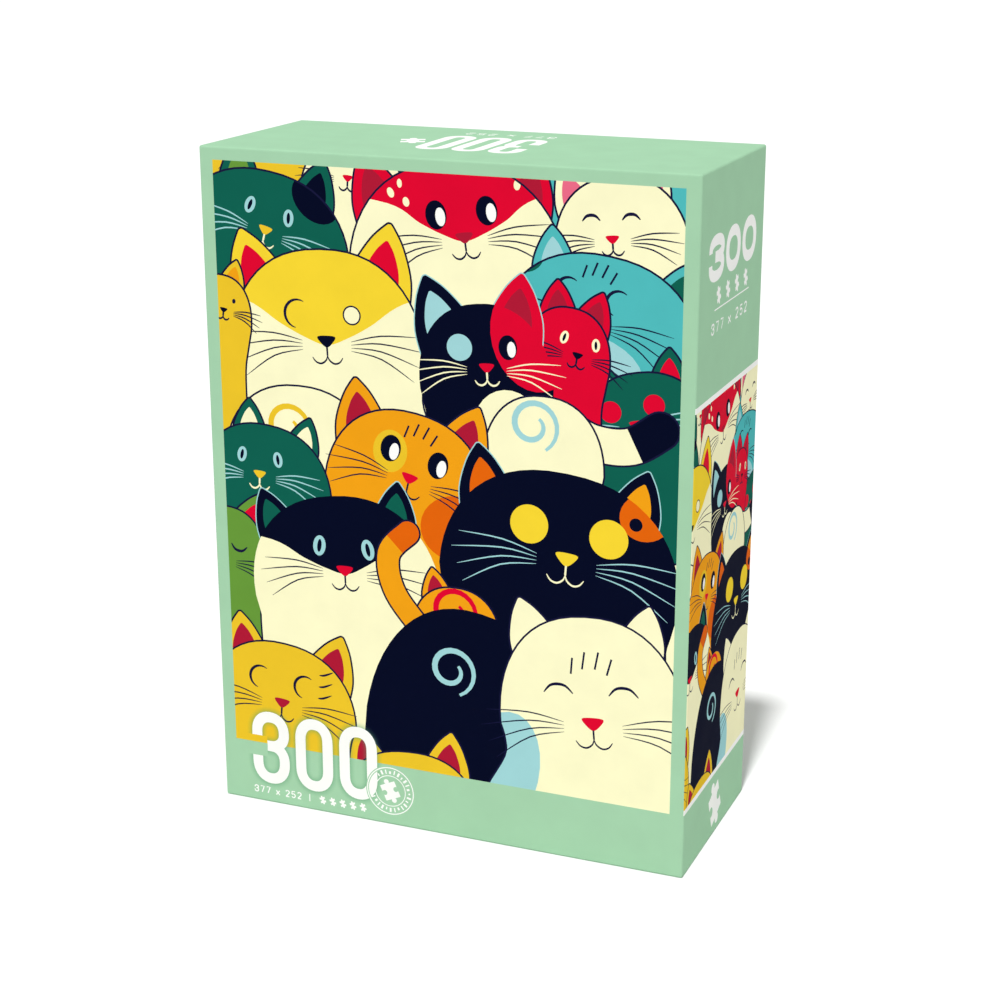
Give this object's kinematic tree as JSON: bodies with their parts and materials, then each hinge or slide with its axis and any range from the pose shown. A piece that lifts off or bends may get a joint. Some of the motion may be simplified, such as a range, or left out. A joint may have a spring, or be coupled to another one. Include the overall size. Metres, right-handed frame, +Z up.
{
  "type": "boxed jigsaw puzzle",
  "caption": "Upright rigid lift-off box for a jigsaw puzzle: a printed lid over a board tray that holds a folded picture sheet and a sealed clear bag of loose interlocking pieces.",
  "frame": {"origin": "centre of the closed box's lower wall, on the surface it stands on", "axes": "+Z up along the box's long side, -Y out of the picture panel on the front of the lid, +Y out of the tray's back, +X to the right seen from the front"},
  "size_m": [0.14, 0.06, 0.19],
  "materials": {
    "grey_board": "raw recycled board, matt",
    "lid_print_paper": "printed paper with a matt soft-touch film",
    "tray_paper": "printed paper with a matt soft-touch film",
    "stay_paper": "gummed kraft-type paper tape, matt",
    "sheet_paper": "printed coated paper, satin",
    "clear_film": "clear polypropylene film, glossy",
    "piece_board": "die-cut grey board",
    "piece_navy": "die-cut board, printed, matt film",
    "piece_red": "die-cut board, printed, matt film",
    "piece_cream": "die-cut board, printed, matt film",
    "piece_gold": "die-cut board, printed, matt film",
    "piece_teal": "die-cut board, printed, matt film",
    "piece_leaf": "die-cut board, printed, matt film"
  },
  "bodies": {
    "tray": {"tray_board": "grey_board", "tray_wrap": "tray_paper", "tray_corner_stay_1": "stay_paper", "tray_corner_stay_2": "stay_paper", "tray_corner_stay_3": "stay_paper", "tray_corner_stay_4": "stay_paper"},
    "lid": {"lid_board": "grey_board", "lid_wrap": "lid_print_paper", "lid_corner_stay_1": "stay_paper", "lid_corner_stay_2": "stay_paper", "lid_corner_stay_3": "stay_paper", "lid_corner_stay_4": "stay_paper"},
    "bag": {"piece_bag": "clear_film", "loose_pieces": "piece_board", "puzzle_piece_01": "piece_red", "puzzle_piece_02": "piece_cream", "puzzle_piece_03": "piece_gold", "puzzle_piece_04": "piece_teal", "puzzle_piece_05": "piece_leaf", "puzzle_piece_06": "piece_navy", "puzzle_piece_07": "piece_red", "puzzle_piece_08": "piece_cream", "puzzle_piece_09": "piece_gold", "puzzle_piece_10": "piece_teal", "puzzle_piece_11": "piece_leaf", "puzzle_piece_12": "piece_navy", "puzzle_piece_13": "piece_red", "puzzle_piece_14": "piece_cream", "puzzle_piece_15": "piece_gold", "puzzle_piece_16": "piece_teal", "puzzle_piece_17": "piece_leaf", "puzzle_piece_18": "piece_navy", "puzzle_piece_19": "piece_red", "puzzle_piece_20": "piece_cream", "puzzle_piece_21": "piece_gold", "puzzle_piece_22": "piece_teal", "puzzle_piece_23": "piece_leaf", "puzzle_piece_24": "piece_navy", "puzzle_piece_25": "piece_red", "puzzle_piece_26": "piece_cream", "puzzle_piece_27": "piece_gold", "puzzle_piece_28": "piece_teal", "puzzle_piece_29": "piece_leaf", "puzzle_piece_30": "piece_navy", "puzzle_piece_31": "piece_red", "puzzle_piece_32": "piece_cream", "puzzle_piece_33": "piece_gold", "puzzle_piece_34": "piece_teal", "puzzle_piece_35": "piece_leaf", "puzzle_piece_36": "piece_navy"},
    "sheet": {"picture_sheet": "sheet_paper"}
  },
  "joints": [
    {"name": "lid_lift", "type": "slide", "parent": "tray", "child": "lid", "axis": [0, -1, 0], "range_m": [0, 0.16]},
    {"name": "bag_play", "type": "slide", "parent": "tray", "child": "bag", "axis": [0, 0, 1], "range_m": [0, 0.02]},
    {"name": "sheet_play", "type": "slide", "parent": "tray", "child": "sheet", "axis": [0, 0, 1], "range_m": [0, 0.008]}
  ]
}
